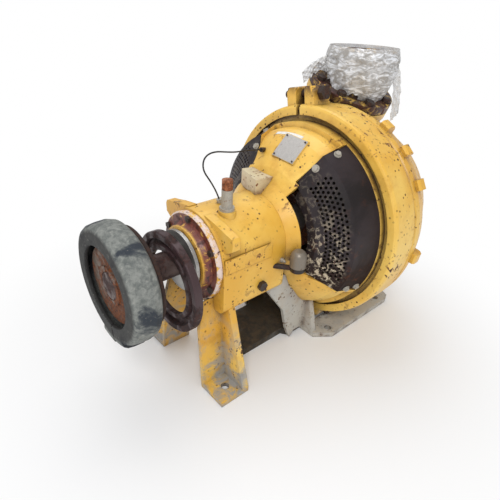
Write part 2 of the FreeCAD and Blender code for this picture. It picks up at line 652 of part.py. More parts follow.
def suction_cover():
    cover = revolved([(872, PIPE_R), (872, 195), (876, 199.7), (SUCTION_X0, 199.7), (SUCTION_X0, 236), (908, 240),
                      (922, 240), (927, 235), (927, 140), (937, 122), (SUCTION_X1 - 28, 122),
                      (SUCTION_X1 - 28, SUCTION_FLANGE_R), (SUCTION_X1, SUCTION_FLANGE_R), (SUCTION_X1, PIPE_R)])
    for spot in circle_of(8, 22.5, lambda a: polar(SUCTION_PCD / 2, a, SUCTION_X1 - 30)):
        cover = cover.cut(rod(spot, V(1, 0, 0), 40, SUCTION_HOLE_R))
    return cover


def suction_cover_nuts():
    return circle_of(8, 0, lambda a: hexagon(polar(216, a, 927), V(1, 0, 0), 30, 16))


def stuffing_box():
    bore = SLEEVE_R + PACKING_T
    body = revolved([(480, bore), (480, 108), (500, 112), (JOINT_X, 124), (JOINT_X, 330), (597, 330),
                     (597, SLEEVE_R + 1), (572, SLEEVE_R + 1), (572, bore)])
    for side in (1, -1):
        lug = box(484, 530, -18, 18, 95 if side > 0 else -140, 140 if side > 0 else -95)
        body = body.fuse(lug).cut(rod(V(470, 0, GLAND_STUD_Z * side), V(1, 0, 0), 46, GLAND_STUD_R))
    return body


def back_liner():
    return revolved([(597, SLEEVE_R + 3), (597, 299.7), (680, 299.7), (690, 280), (690, SLEEVE_R + 3)])


def gland_follower():
    bore = SLEEVE_R + 0.5
    plate = revolved([(452, bore), (452, 108), (468, 108), (470, SLEEVE_R + PACKING_T - 0.5),
                      (500, SLEEVE_R + PACKING_T - 0.5), (500, bore)])
    for side in (1, -1):
        plate = plate.fuse(box(452, 468, -26, 26, 95 if side > 0 else -140, 140 if side > 0 else -95))
    for side in (1, -1):
        plate = plate.cut(rod(V(440, 0, GLAND_STUD_Z * side), V(1, 0, 0), 40, GLAND_STUD_R + 1))
    return plate.removeSplitter()


def gland_studs():
    return [rod(V(430, 0, GLAND_STUD_Z * side), V(1, 0, 0), 86, GLAND_STUD_R) for side in (1, -1)]


def gland_nuts():
    return [hexagon(V(452, 0, GLAND_STUD_Z * side), V(-1, 0, 0), 24, 13, GLAND_STUD_R + RUNNING) for side in (1, -1)]


def packing():
    rings = []
    for x0 in (500, 516, 548):
        rings.append(ring(x0, x0 + 16, SLEEVE_R + PACKING_T, SLEEVE_R + 0.3))
    return rings


# ---- fittings ---------------------------------------------------------------------------------
def breather():
    foot = V(95, -50, HOUSING_R)
    pipe = fused([Part.makeCylinder(23, 10, foot), Part.makeCylinder(17, 60, foot + V(0, 0, 5)),
                  Part.makeCylinder(12, 10, foot + V(0, 0, 65))])
    cap = Part.makeCylinder(16.5, 30, foot + V(0, 0, 65 + SEAT_GAP))
    cap = cap.cut(Part.makeCylinder(12 + RUNNING, 10, foot + V(0, 0, 65 + SEAT_GAP)))
    return pipe, cap


def grease_cup():
    centre = V(270, -204, -55)
    stem = fused([Part.makeCylinder(24, 16, centre), Part.makeCylinder(10, 30, centre + V(0, 0, 10)),
                  rod(centre + V(0, 0, 8), V(-36, 42, 0), 82, 9)]).cut(box(0, HOUSING_X1, -HOUSING_R, 0, -HOUSING_R, HOUSING_R))
    cap = Part.makeCylinder(27, 34, centre + V(0, 0, 17))
    cap = cap.fuse(Part.makeSphere(27, centre + V(0, 0, 51), V(0, 0, 1), 0, 55, 360))
    return stem, cap.cut(Part.makeCylinder(10.05, 24, centre + V(0, 0, 16)))


def lifting_block(frame):
    block = slab([(240, -13), (323, -22), (335, 85), (277, 98)], 56.0, plane="XY", at=HOUSING_R - 6)
    return largest(block.cut(frame))


def cable_route():
    """Route corners of the sensor cable from its foot on the housing to its clip on the bell."""
    return [V(106, 3, 164), V(98, 4, 186), V(78, 8, 224), V(54, 12, 260), V(56, 16, 289), V(76, 20, 304),
            V(112, 28, 304), V(160, 37, 292), V(208, 48, 281), V(258, 61, 275), V(306, 75, 266), V(348, 84, 257)]


def cord(points, radius):
    """Tube of straight runs joined by tangent arcs."""
    edges = []
    at = points[0]
    for i in range(1, len(points) - 1):
        before = points[i] - points[i - 1]
        after = points[i + 1] - points[i]
        turn = before.getAngle(after)
        shorter = min(before.Length, after.Length)
        bend_r = 0.45 * shorter / math.tan(turn / 2)
        reach = 0.45 * shorter
        enter = points[i] - before.normalize() * reach
        leave = points[i] + after.normalize() * reach
        middle = points[i] + (enter - points[i] + leave - points[i]).normalize() * (
            bend_r * (1 / math.cos(turn / 2) - 1))
        edges += [Part.LineSegment(at, enter).toShape(), Part.Arc(enter, middle, leave).toShape()]
        at = leave
        print("cable bend radius", round(bend_r, 1))
    edges.append(Part.LineSegment(at, points[-1]).toShape())
    wire = Part.Wire(edges)
    heading = (points[1] - points[0]).normalize()
    profile = Part.Wire(Part.makeCircle(radius, points[0], heading))
    tube = wire.makePipeShell([profile], True, True)
    print("cable length", round(wire.Length, 1), "volume ratio", round(tube.Volume / (math.pi * radius ** 2 * wire.Length), 4))
    return tube


def nameplate_placement():
    """Frame on the bell's top slope: local X up the slope, local Z out of the surface."""
    slope = math.radians(47.0)
    outward = polar(1, PLATE_ANGLE)
    up_slope = V(math.cos(slope), 0, 0) + outward * math.sin(slope)
    normal = V(-math.sin(slope), 0, 0) + outward * math.cos(slope)
    turn = FreeCAD.Rotation(up_slope, V(0, 0, 0), normal, "ZXY")
    return FreeCAD.Placement(polar(PLATE_SEAT_R, PLATE_ANGLE, PLATE_X), turn)


def placed(solid):
    solid.Placement = nameplate_placement().multiply(solid.Placement)
    return solid


def nameplate():
    plate = placed(Part.makeBox(PLATE_L, PLATE_W, 1.5, V(-PLATE_L / 2, -PLATE_W / 2, 0)))
    rivets = [placed(Part.makeCylinder(3, 3, V(sx * (PLATE_L / 2 - 6), sy * (PLATE_W / 2 - 6), 1.5)))
              for sx in (-1, 1) for sy in (-1, 1)]
    return plate, rivets


def film(top):
    """Loose film sleeve tied round the discharge mouth, with a hanging flap on each side."""
    inner = PIPE_R + BEND_WALL + 6.5
    lean = V(0, 8, -60)

    def cone(grow, extra):
        upper = Part.Wire(Part.makeCircle(inner + grow, top + V(0, 0, extra)))
        lower = Part.Wire(Part.makeCircle(inner + grow + 7, top + lean - V(0, 0, extra)))
        return Part.makeLoft([lower, upper], True, True)

    sleeve = cone(2, 0).cut(cone(0, 0.5))
    left = [(-119, 972), (-140, 970), (-180, 948), (-214, 916), (-205, 890), (-184, 908), (-166, 938), (-127, 945)]
    right = [(118, 985), (150, 905), (161, 860), (173, 800), (165, 752), (148, 762), (147, 850), (139, 900),
             (124, 945)]
    flaps = []
    for outline in (left, right):
        flap = slab([(s, z - SHAFT_HEIGHT) for s, z in outline], 2.5, at=0)
        flap.rotate(V(0, 0, 0), V(0, 0, 1), -41.3)
        flap.translate(V(top.x, top.y, 0))
        flaps.append(flap)
    return fused([sleeve] + flaps)


def main():
    block = bearing_housing()
    flare = bell()
    legs = largest(front_leg().cut(block).cut(ring(LEG_X0, HOUSING_X0, COVER_R + 1)))
    feet = largest(rear_base().cut(block).cut(flare))
    frame = Part.makeCompound([block, flare])
    emit("bearing_housing", block.copy())
    emit("bell", flare.copy())
    emit("front_leg_near", legs.copy())
    emit("front_leg_far", mirrored(legs))
    emit("rear_foot_near", feet.copy())
    emit("rear_foot_far", mirrored(feet))
    emit("base_tie_plate", base_tie_plate())
    bearing(DE_BEARING, "drive_end_bearing")
    bearing(PE_BEARING, "pump_end_bearing")
    emit("drive_end_cover", drive_end_cover())
    emit("pump_end_cover", pump_end_cover())
    emit("drive_end_cover_bolts", cover_bolts())
    emit("drive_end_labyrinth", ring(-50, -39, 98, SHAFT_R))
    emit("shaft", shaft())
    emit("shaft_sleeve", ring(330, 680, SLEEVE_R, 50))
    emit("impeller", impeller())
    emit("coupling_hub", coupling_hub())
    emit("shaft_key", shaft_key())
    emit("coupling_tyre", tyre())
    emit("tyre_clamp_ring", ring(-217, -205, 146, 100))
    emit("tyre_clamp_screws", circle_of(6, 0, lambda a: hexagon(polar(108, a, TYRE_X1 + 12), V(1, 0, 0), 17, 8)))
    emit("hanging_ring", hanging_ring())
    near_guard = guard()
    emit("guard_near", near_guard.copy())
    emit("guard_far", mirrored(near_guard))
    screws = guard_screws()
    emit("guard_screws", screws + [mirrored(s) for s in screws])
    emit("clamp_ring_near_half", clamp_half(CLAMP_SPLIT))
    emit("clamp_ring_far_half", clamp_half(CLAMP_SPLIT + 180))
    bolts, nuts = clamp_fasteners()
    emit("clamp_bolts", bolts)
    emit("clamp_nuts", nuts)
    emit("pump_casing", casing())
    emit("suction_cover", suction_cover())
    emit("suction_cover_nuts", suction_cover_nuts())
    emit("stuffing_box", stuffing_box())
    emit("back_liner", back_liner())
    emit("gland_follower", gland_follower())
    emit("gland_studs", gland_studs())
    emit("gland_nuts", gland_nuts())
    emit("gland_packing", packing())
    emit("lantern_ring", ring(532, 548, SLEEVE_R + PACKING_T, SLEEVE_R + 0.5))
    bend, top = discharge_bend()
    emit("discharge_bend", bend)
    emit("discharge_gasket", discharge_gasket())
    bolts, nuts = discharge_fasteners()
    emit("discharge_bolts", bolts)
    emit("discharge_nuts", nuts)
    emit("wrapping_film", film(top))
    pipe, cap = breather()
    emit("breather_pipe", pipe)
    emit("breather_cap", cap)
    stem, cup = grease_cup()
    emit("grease_cup_base", stem)
    emit("grease_cup_cap", cup)
    emit("lifting_block", lifting_block(frame))
    emit("oil_level_plug", hexagon(V(164, -HOUSING_R, -98), V(0, -1, 0), 30, 14))
    emit("grease_nipple", fused([rod(V(248, -HOUSING_R, -32), V(0, -1, 0), 8, 7), rod(V(248, -HOUSING_R - 8, -32), V(0, -1, 0), 10, 4)]))
    plate, rivets = nameplate()
    emit("nameplate", plate)
    emit("nameplate_rivets", rivets)
    route = cable_route()
    emit("sensor_cable", cord(route, CABLE_R))
    rise = (route[1] - route[0]).normalize()
    run_in = (route[-1] - route[-2]).normalize()
    emit("cable_gland", largest(rod(route[0] - rise * 16, rise, 16, 9).cut(frame)))
    emit("cable_clip", largest(rod(route[-1], run_in, 40, 8).cut(frame)))


main()
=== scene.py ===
"""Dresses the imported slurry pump: finishes, loose film, sensor cable, studio and camera."""

import json
import logging
import math
from dataclasses import dataclass, field
from enum import Enum

import bmesh
import bpy
from mathutils import Matrix, Vector


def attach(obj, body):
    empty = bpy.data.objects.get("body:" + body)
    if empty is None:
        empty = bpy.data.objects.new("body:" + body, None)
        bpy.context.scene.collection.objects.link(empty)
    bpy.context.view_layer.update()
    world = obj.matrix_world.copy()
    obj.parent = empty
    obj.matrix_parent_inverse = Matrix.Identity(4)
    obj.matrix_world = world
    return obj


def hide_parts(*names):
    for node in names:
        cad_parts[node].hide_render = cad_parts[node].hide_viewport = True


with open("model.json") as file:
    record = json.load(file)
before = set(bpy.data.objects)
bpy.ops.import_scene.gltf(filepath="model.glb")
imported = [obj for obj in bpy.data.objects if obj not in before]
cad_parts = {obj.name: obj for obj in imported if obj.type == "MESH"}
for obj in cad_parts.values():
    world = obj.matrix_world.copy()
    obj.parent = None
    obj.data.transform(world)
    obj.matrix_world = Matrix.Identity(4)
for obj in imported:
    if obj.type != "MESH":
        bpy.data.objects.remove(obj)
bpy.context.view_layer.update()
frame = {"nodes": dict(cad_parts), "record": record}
LOG = logging.getLogger("pump")

Colour = tuple[float, float, float]
Socket = bpy.types.NodeSocket

SHAFT_HEIGHT = 0.44
SENSOR_WIDTH = 36.0
CORNER_SAMPLES = 6


class Axis(Enum):
    """The frame's axes, as places in a coordinate."""
    SHAFT = 0
    ACROSS = 1
    UP = 2


# ---- shader maths -------------------------------------------------------------------------------
class Num:
    """One value socket of a shader, which Python operators turn into Math nodes."""

    def __init__(self, shade: "Shade", socket: bpy.types.NodeSocket) -> None:
        """Keep the shader and the socket that carries the value."""
        self.shade = shade
        self.socket = socket

    def _math(self, operation: str, *values: "Num | float", clamp: bool = False) -> "Num":
        """Add a Math node.

        Args:
            operation: the Math node's operation.
            values: its inputs, in order.
            clamp: whether the result is held between 0 and 1.

        Returns:
            The node's result.
        """
        inputs = {i: value for i, value in enumerate(values)}
        made = self.shade.node("ShaderNodeMath", {"operation": operation, "use_clamp": clamp}, inputs)
        return Num(self.shade, made.outputs[0])

    def __add__(self, other: "Num | float") -> "Num":
        """Sum."""
        return self._math("ADD", self, other)

    __radd__ = __add__

    def __sub__(self, other: "Num | float") -> "Num":
        """Difference."""
        return self._math("SUBTRACT", self, other)

    def __rsub__(self, other: "Num | float") -> "Num":
        """Difference with the operands the other way round."""
        return self._math("SUBTRACT", other, self)

    def __mul__(self, other: "Num | float") -> "Num":
        """Product."""
        return self._math("MULTIPLY", self, other)

    __rmul__ = __mul__

    def __pow__(self, other: float) -> "Num":
        """Power."""
        return self._math("POWER", self, other)

    def held(self) -> "Num":
        """The value held between 0 and 1."""
        return self._math("ADD", self, 0.0, clamp=True)

    def ramp(self, low: float, high: float) -> "Num":
        """Smooth step from 0 at low to 1 at high.

        Args:
            low: the value that gives 0.
            high: the value that gives 1.

        Returns:
            The stepped value.
        """
        made = self.shade.node(
            "ShaderNodeMapRange", {"interpolation_type": "SMOOTHSTEP"},
            {"Value": self, "From Min": low, "From Max": high})
        return Num(self.shade, made.outputs[0])

    def highest(self, other: "Num | float") -> "Num":
        """The larger of two values."""
        return self._math("MAXIMUM", self, other)


class Shade:
    """A material under construction, with short calls for the nodes that the finishes use."""

    def __init__(self, name: str) -> None:
        """Start an empty node material.

        Args:
            name: the material's name.
        """
        self.material = bpy.data.materials.new(name)
        self.material.use_nodes = True
        self.tree = self.material.node_tree
        self.tree.nodes.clear()
        self.output = self.node("ShaderNodeOutputMaterial")
        self.place = self.node("ShaderNodeTexCoord").outputs["Object"]

    def node(self, kind: str, settings: dict | None = None, inputs: dict | None = None) -> bpy.types.Node:
        """Add one node.

        Args:
            kind: the node's type.
            settings: its properties, set first.
            inputs: values or links of its sockets, by name or number.

        Returns:
            The new node.
        """
        made = self.tree.nodes.new(kind)
        for key, value in (settings or {}).items():
            setattr(made, key, value)
        for key, value in (inputs or {}).items():
            self.feed(made.inputs[key], value)
        return made

    def feed(self, target: bpy.types.NodeSocket, value: object) -> None:
        """Link a socket or set its value.

        Args:
            target: the socket to feed.
            value: a number, a colour, a socket or a Num.
        """
        source = value.socket if isinstance(value, Num) else value
        if isinstance(source, bpy.types.NodeSocket):
            self.tree.links.new(source, target)
        elif isinstance(source, tuple) and len(source) == 3 and target.type == "RGBA":
            target.default_value = (*source, 1.0)
        else:
            target.default_value = source

    def stretched(self, scale: tuple[float, float, float]) -> Socket:
        """Object coordinates times a factor along each axis."""
        made = self.node("ShaderNodeMapping", None, {"Vector": self.place, "Scale": scale})
        return made.outputs[0]

    def noise(self, scale: float, detail: float = 4.0, rough: float = 0.55, warp: float = 0.0,
              at: Socket | None = None) -> Num:
        """Noise value about 0.5.

        Args:
            scale: cells in a metre.
            detail: octaves.
            rough: strength of the finer octaves.
            warp: distortion.
            at: coordinates, Object coordinates if left out.

        Returns:
            The noise value.
        """
        made = self.node("ShaderNodeTexNoise", None,
                         {"Vector": at or self.place, "Scale": scale, "Detail": detail, "Roughness": rough,
                          "Distortion": warp})
        return Num(self, made.outputs["Fac"])

    def cells(self, scale: float) -> Num:
        """Distance to the nearest of scattered points, this many of them in a metre."""
        made = self.node("ShaderNodeTexVoronoi", None, {"Vector": self.place, "Scale": scale})
        return Num(self, made.outputs["Distance"])

    def along(self, axis: Axis) -> Num:
        """One Object coordinate, in metres."""
        made = self.node("ShaderNodeSeparateXYZ", None, {0: self.place})
        return Num(self, made.outputs[axis.value])

    def from_shaft(self) -> Num:
        """Distance from the shaft's centre line.

        Returns:
            The distance, in metres.
        """
        aside = self.along(Axis.ACROSS)
        above = self.along(Axis.UP) - SHAFT_HEIGHT
        return (aside * aside + above * above) ** 0.5

    def shelter(self, reach: float) -> Num:
        """How open the surface is: 1 in the open and 0 far inside a hollow.

        Args:
            reach: how far it looks, in metres.

        Returns:
            The openness.
        """
        settings = {"samples": CORNER_SAMPLES, "only_local": False}
        made = self.node("ShaderNodeAmbientOcclusion", settings, {"Distance": reach})
        return Num(self, made.outputs["AO"])

    def facing_up(self) -> Num:
        """How far the surface faces up.

        Returns:
            The upward part of its normal, from -1 to 1.
        """
        geometry = self.node("ShaderNodeNewGeometry")
        made = self.node("ShaderNodeSeparateXYZ", None, {0: geometry.outputs["Normal"]})
        return Num(self, made.outputs[2])

    def blend(self, factor: "Num | float", first: object, second: object) -> Socket:
        """Mix two colours."""
        made = self.node("ShaderNodeMix", {"data_type": "RGBA", "clamp_factor": True},
                         {0: factor, 6: first, 7: second})
        return made.outputs[2]

    def bump(self, height: Num, depth: float, strength: float, edge: float = 0.0) -> Socket:
        """Normal from a height pattern.

        Args:
            height: the pattern.
            depth: the relief's depth, in metres.
            strength: how far the relief turns the normal, from 0 to 1.
            edge: radius that eases the sharp edges, none if 0.

        Returns:
            The normal.
        """
        inputs = {"Height": height, "Distance": depth, "Strength": strength}
        if edge > 0:
            eased = self.node("ShaderNodeBevel", {"samples": CORNER_SAMPLES}, {"Radius": edge})
            inputs["Normal"] = eased.outputs[0]
        return self.node("ShaderNodeBump", None, inputs).outputs[0]

    def surface(self, inputs: dict) -> bpy.types.Material:
        """Close the material with a Principled shader.

        Args:
            inputs: the shader's sockets by name.

        Returns:
            The finished material.
        """
        made = self.node("ShaderNodeBsdfPrincipled", None, inputs)
        self.tree.links.new(made.outputs[0], self.output.inputs[0])
        return self.material


def linear(value: int) -> float:
    """Linear strength of one colour value from 0 to 255, by the sRGB curve."""
    share = value / 255
    return share / 12.92 if share <= 0.04045 else ((share + 0.055) / 1.055) ** 2.4


def tone(red: int, green: int, blue: int) -> Colour:
    """Linear colour from the values that a colour chart gives.

    Args:
        red: red, from 0 to 255.
        green: green, from 0 to 255.
        blue: blue, from 0 to 255.

    Returns:
        The three linear strengths.
    """
    return linear(red), linear(green), linear(blue)


# ---- finishes -----------------------------------------------------------------------------------
@dataclass(frozen=True)
class WornPaint:
    """Gloss paint on a casting, with chips down to rust, primer patches, stains, settled dust, painted shade
    in hollows and dried slurry.
    """
    name: str
    paint: Colour = tone(226, 171, 56)
    sun_faded: Colour = tone(240, 200, 98)
    under: Colour = tone(184, 122, 36)
    chip: Colour = tone(70, 38, 26)
    primer: Colour = tone(120, 50, 38)
    slurry: Colour = tone(190, 182, 168)
    # Brown tint for hollows and gaps, partly caked muck and partly painted shade.
    grime_and_shade: Colour = tone(122, 84, 38)
    # Dark brown painted shade for the tightest hollows and gaps.
    painted_shade: Colour = tone(52, 32, 24)
    pale: Colour = tone(226, 206, 196)
    scale: Colour = tone(72, 38, 28)
    scale_dark: Colour = tone(40, 24, 20)
    chips: float = 0.7
    # Strength of the settled dust, the brown tint in hollows and the painted shade, all in one.
    dirt_and_shade: float = 0.6
    splash_below: float = 0.12
    edge: float = 0.004
    band: tuple[float, float] = (0.0, 0.0)
    band_fade: float = 0.004
    pale_rim: tuple[float, float] = (0.1375, 0.1395)
    rust_above: float = 0.0
    rust_fade: float = 0.06

    def worn_band(self, s: Shade, base: Socket, wear: Num) -> Socket:
        """Primer and rust on a ring about the shaft, with a pale rim outside it.

        Args:
            s: the material under construction.
            base: the colour so far.
            wear: the wear pattern.

        Returns:
            The colour with the ring on it.
        """
        inner, outer = self.band
        reach = s.from_shaft()
        ringed = reach.ramp(inner, inner + self.band_fade) * (1 - reach.ramp(outer, outer + self.band_fade))
        base = s.blend((ringed * wear.ramp(0.36, 0.44)).held(), base, self.primer)
        base = s.blend((ringed * wear.ramp(0.52, 0.58)).held(), base, self.chip)
        pale = reach.ramp(*self.pale_rim) * s.noise(30.0, detail=5, rough=0.7).ramp(0.42, 0.5)
        return s.blend(pale.held(), base, self.pale)

    def rusted_top(self, s: Shade, base: Socket, wear: Num, fine: Num) -> Socket:
        """Heavy rust above a height.

        Args:
            s: the material under construction.
            base: the colour so far.
            wear: the wear pattern.
            fine: the grain of the rust.

        Returns:
            The colour with the rust on it.
        """
        high = s.along(Axis.UP).ramp(self.rust_above, self.rust_above + self.rust_fade)
        eaten = (high * wear.ramp(0.40, 0.50)).held()
        return s.blend(eaten, base, s.blend(fine.ramp(0.4, 0.6), self.scale, self.scale_dark))

    def make(self) -> bpy.types.Material:
        """Build the material.

        Returns:
            The paint material.
        """
        s = Shade(self.name)
        broad = s.noise(3.2, detail=5, rough=0.6)
        cloud = s.noise(11.0, detail=6, rough=0.62, warp=0.4)
        fine = s.noise(160.0, detail=3, rough=0.6)
        base = s.blend(broad.ramp(0.35, 0.68), self.paint, self.sun_faded)
        base = s.blend(cloud.ramp(0.52, 0.78) * 0.55, base, self.under)
        shade = 1 - s.shelter(0.06)
        # Painted shade with caked muck: a brown tint laid where the AO node finds hollows, broken up by
        # noise.
        shaded_grime = (shade * 1.5 * cloud.ramp(0.25, 0.7)).held() * self.dirt_and_shade
        base = s.blend(shaded_grime, base, self.grime_and_shade)
        patch = s.noise(7.0, detail=4, rough=0.6).ramp(0.44, 0.66)
        scattered = s.noise(19.0, detail=3).ramp(0.60 - 0.2 * self.chips, 0.66)
        specks = (0.27 - s.cells(62.0)).ramp(0.0, 0.05) * scattered
        wear = s.noise(34.0, detail=6, rough=0.68, warp=0.7)
        flakes = wear.ramp(0.655 - 0.07 * self.chips, 0.675 - 0.06 * self.chips) * patch
        edges = (shade * 1.3 * wear.ramp(0.50, 0.62)).ramp(0.55, 0.8) * self.chips
        bare = specks.highest(flakes).highest(edges).held()
        rim = wear.ramp(0.62 - 0.07 * self.chips, 0.66 - 0.07 * self.chips) * patch
        if self.band[1] > 0:
            base = self.worn_band(s, base, wear)
        if self.rust_above > 0:
            base = self.rusted_top(s, base, wear, fine)
        base = s.blend(rim * 0.75, base, self.primer)
        base = s.blend(bare, base, self.chip)
        # Painted shade: dark brown where the AO node finds tight hollows and gaps.
        base = s.blend((shade.ramp(0.40, 0.85) * self.dirt_and_shade * 1.3).held(), base, self.painted_shade)
        floor_near = 1 - s.along(Axis.UP).ramp(0.0, self.splash_below + 0.001)
        splash = (floor_near * s.noise(17.0, detail=6, rough=0.65, warp=0.8).ramp(0.40, 0.62)).held()
        settled = s.noise(38.0, detail=5, rough=0.7).ramp(0.52, 0.8)
        dust = s.facing_up().ramp(0.6, 1.0) * settled * 0.35 * self.dirt_and_shade
        base = s.blend(splash.highest(dust), base, self.slurry)
        rough = 0.34 + 0.25 * cloud + 0.4 * bare + 0.35 * splash
        relief = fine * 0.12 + cloud * 0.5 - bare * 0.8 + splash * 0.4
        return s.surface({"Base Color": base, "Roughness": rough.held(),
                          "Coat Weight": (0.22 - 0.22 * bare).held(), "Coat Roughness": 0.25,
                          "Normal": s.bump(relief, 0.0009, 0.7, self.edge)})


@dataclass(frozen=True)
class RustedSteel:
    """Steel under rust, from a thin bloom to a heavy scale."""
    name: str
    steel: Colour = tone(96, 92, 90)
    rust: Colour = tone(122, 66, 34)
    dark: Colour = tone(52, 32, 26)
    cover: float = 0.6
    shine: float = 0.5
    grain: float = 40.0
    dark_beyond: float = 0.0
    dark_fade: float = 0.006
    rim_dark: Colour = tone(34, 26, 24)

    def make(self) -> bpy.types.Material:
        """Build the material.

        Returns:
            The rusted material.
        """
        s = Shade(self.name)
        mottled = s.noise(self.grain, detail=7, rough=0.68, warp=0.5)
        broad = s.noise(self.grain * 0.25, detail=4, rough=0.6)
        mask = (broad * 0.5 + mottled * 0.5).ramp(0.62 - 0.28 * self.cover, 0.70 - 0.22 * self.cover)
        scale = s.noise(self.grain * 3.5, detail=5, rough=0.7)
        colour = s.blend(scale.ramp(0.35, 0.62), self.rust, self.dark)
        colour = s.blend(mask, self.steel, colour)
        if self.dark_beyond > 0:
            outer = s.from_shaft().ramp(self.dark_beyond, self.dark_beyond + self.dark_fade)
            colour = s.blend(outer * 0.85, colour, self.rim_dark)
        return s.surface({"Base Color": colour, "Metallic": (self.shine * (1 - mask)).held(),
                          "Roughness": (0.38 + 0.5 * mask).held(),
                          "Normal": s.bump(scale * 0.5 + mask * 0.6, 0.0008, 0.8, 0.0015)})


@dataclass(frozen=True)
class SlurriedGuard:
    """Old purple-black paint with brown rust low down and cream dried slurry."""
    name: str
    paint: Colour = tone(48, 40, 43)
    paint_dark: Colour = tone(28, 23, 24)
    rust: Colour = tone(38, 22, 17)
    brown: Colour = tone(84, 46, 28)
    slurry: Colour = tone(205, 190, 165)
    low_zone: tuple[float, float] = (0.30, 0.62)
    slope_end: tuple[float, float] = (0.372, 0.400)

    def make(self) -> bpy.types.Material:
        """Build the material.

        Returns:
            The guard sheet's material.
        """
        s = Shade(self.name)
        cloud = s.noise(9.0, detail=6, rough=0.62, warp=0.5)
        low = 1 - s.along(Axis.UP).ramp(*self.low_zone)
        base = s.blend(cloud.ramp(0.35, 0.7), self.paint, self.paint_dark)
        rusted = (low * 0.75 + cloud * 0.5).ramp(0.62, 0.98)
        base = s.blend(rusted, base, self.rust)
        browned = (s.noise(30.0, detail=6, rough=0.7, warp=0.6).ramp(0.55, 0.68) * (0.25 + low)).held()
        base = s.blend(browned * 0.7, base, self.brown)
        front = 1 - s.along(Axis.SHAFT).ramp(*self.slope_end)
        streak = s.noise(46.0, detail=7, rough=0.72, warp=0.9).ramp(0.50, 0.60)
        splash = (front * streak * (0.12 + 1.15 * low)).held() * 0.9
        base = s.blend(splash, base, self.slurry)
        relief = cloud * 0.4 + browned * 0.4 + splash * 0.6
        return s.surface({"Base Color": base, "Roughness": (0.48 + 0.3 * rusted + 0.3 * splash).held(),
                          "Specular IOR Level": 0.3, "Normal": s.bump(relief, 0.0009, 0.7, 0.001)})


@dataclass(frozen=True)
class DustyRubber:
    """Grey dusted rubber with darker rubbed patches, slurry stains and painted shade in its hollows."""
    name: str
    dusty: Colour = tone(96, 100, 97)
    dusty_pale: Colour = tone(136, 138, 133)
    rubbed: Colour = tone(44, 50, 58)
    painted_shade: Colour = tone(34, 32, 33)
    # Painted shade for the rubber's hollows.
    lip: Colour = tone(30, 28, 28)
    scuff: Colour = tone(170, 166, 156)
    lip_reach: tuple[float, float] = (0.158, 0.172)

    def make(self) -> bpy.types.Material:
        """Build the material.

        Returns:
            The rubber material.
        """
        s = Shade(self.name)
        broad = s.noise(9.0, detail=5, rough=0.62, warp=0.8)
        dust = s.noise(60.0, detail=6, rough=0.7, warp=0.3)
        base = s.blend(dust.ramp(0.35, 0.65), self.dusty, self.dusty_pale)
        base = s.blend(broad.ramp(0.50, 0.64), base, self.rubbed)
        # Painted shade: the rubber darkens where the AO node finds hollows.
        hollow_shade = 1 - s.shelter(0.05)
        base = s.blend((hollow_shade * 1.6).held(), base, self.painted_shade)
        inside = 1 - (s.from_shaft() + 0.006 * broad).ramp(*self.lip_reach)
        base = s.blend(inside * 0.85, base, self.lip)
        scuffed = s.noise(120.0, detail=4, rough=0.7).ramp(0.60, 0.72)
        base = s.blend(scuffed * 0.4, base, self.scuff)
        return s.surface({"Base Color": base, "Roughness": (0.72 + 0.2 * dust).held(),
                          "Normal": s.bump(dust * 0.6 + broad * 0.6, 0.0012, 0.7, 0.012)})


@dataclass(frozen=True)
class BareMetal:
    """Plain or zinc-coated metal with soft stains and fine scratches."""
    name: str
    metal: Colour = tone(176, 174, 170)
    stain: Colour = tone(120, 84, 52)
    stained: float = 0.4
    metallic: float = 0.8
    rough: float = 0.4
    grain: float = 55.0
    scratched: Colour = tone(120, 118, 114)

    def make(self) -> bpy.types.Material:
        """Build the material.

        Returns:
            The metal material.
        """
        s = Shade(self.name)
        mottle = s.noise(self.grain, detail=6, rough=0.66, warp=0.4)
        scratch = s.noise(26.0, detail=4, rough=0.7, at=s.stretched((1, 26, 6)))
        mask = mottle.ramp(0.72 - 0.3 * self.stained, 0.80 - 0.2 * self.stained)
        base = s.blend(scratch.ramp(0.35, 0.7) * 0.35, self.metal, self.scratched)
        base = s.blend(mask, base, self.stain)
        return s.surface({"Base Color": base, "Metallic": (self.metallic * (1 - mask)).held(),
                          "Roughness": (self.rough + 0.4 * mask + 0.1 * scratch).held(),
                          "Normal": s.bump(scratch * 0.4 + mottle * 0.4, 0.0004, 0.5, 0.0008)})


@dataclass(frozen=True)
class PlainCoat:
    """Non-metal surface of one colour with mild mottling, such as a cable jacket or a paper label."""
    name: str
    colour: Colour = tone(30, 30, 32)
    worn: Colour = tone(70, 68, 64)
    rough: float = 0.6
    grain: float = 140.0

    def make(self) -> bpy.types.Material:
        """Build the material.

        Returns:
            The coated material.
        """
        s = Shade(self.name)
        mottle = s.noise(self.grain, detail=5, rough=0.65)
        base = s.blend(mottle.ramp(0.45, 0.72) * 0.6, self.colour, self.worn)
        return s.surface({"Base Color": base, "Roughness": (self.rough + 0.15 * mottle).held(),
                          "Normal": s.bump(mottle, 0.0003, 0.4)})


